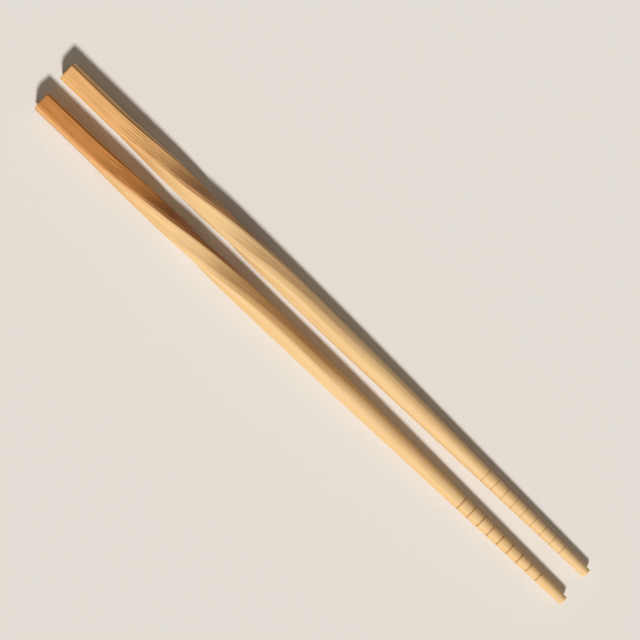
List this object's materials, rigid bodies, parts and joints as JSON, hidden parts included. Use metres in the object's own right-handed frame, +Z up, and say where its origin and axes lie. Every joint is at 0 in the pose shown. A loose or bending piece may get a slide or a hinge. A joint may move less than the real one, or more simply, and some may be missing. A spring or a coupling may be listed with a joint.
{
  "type": "pair of chopsticks",
  "caption": "Pair of wooden chopsticks with square handles whose flats twist into round tapered shanks, ringed by gripping grooves before the tips.",
  "frame": {"origin": "on the surface the pair lies on, under the middle of the pair's box", "axes": "+X along the sticks from butts to tips, +Y from the lower stick to the upper one, +Z up"},
  "size_m": [0.2408, 0.0212, 0.0085],
  "materials": {
    "upper_wood": "plain sanded bamboo, pale straw, with fine dark lines along the grain",
    "lower_wood": "plain sanded bamboo, pale straw, a little browner at the handle"
  },
  "bodies": {
    "root": {"upper_chopstick": "upper_wood", "lower_chopstick": "lower_wood"}
  },
  "joints": []
}
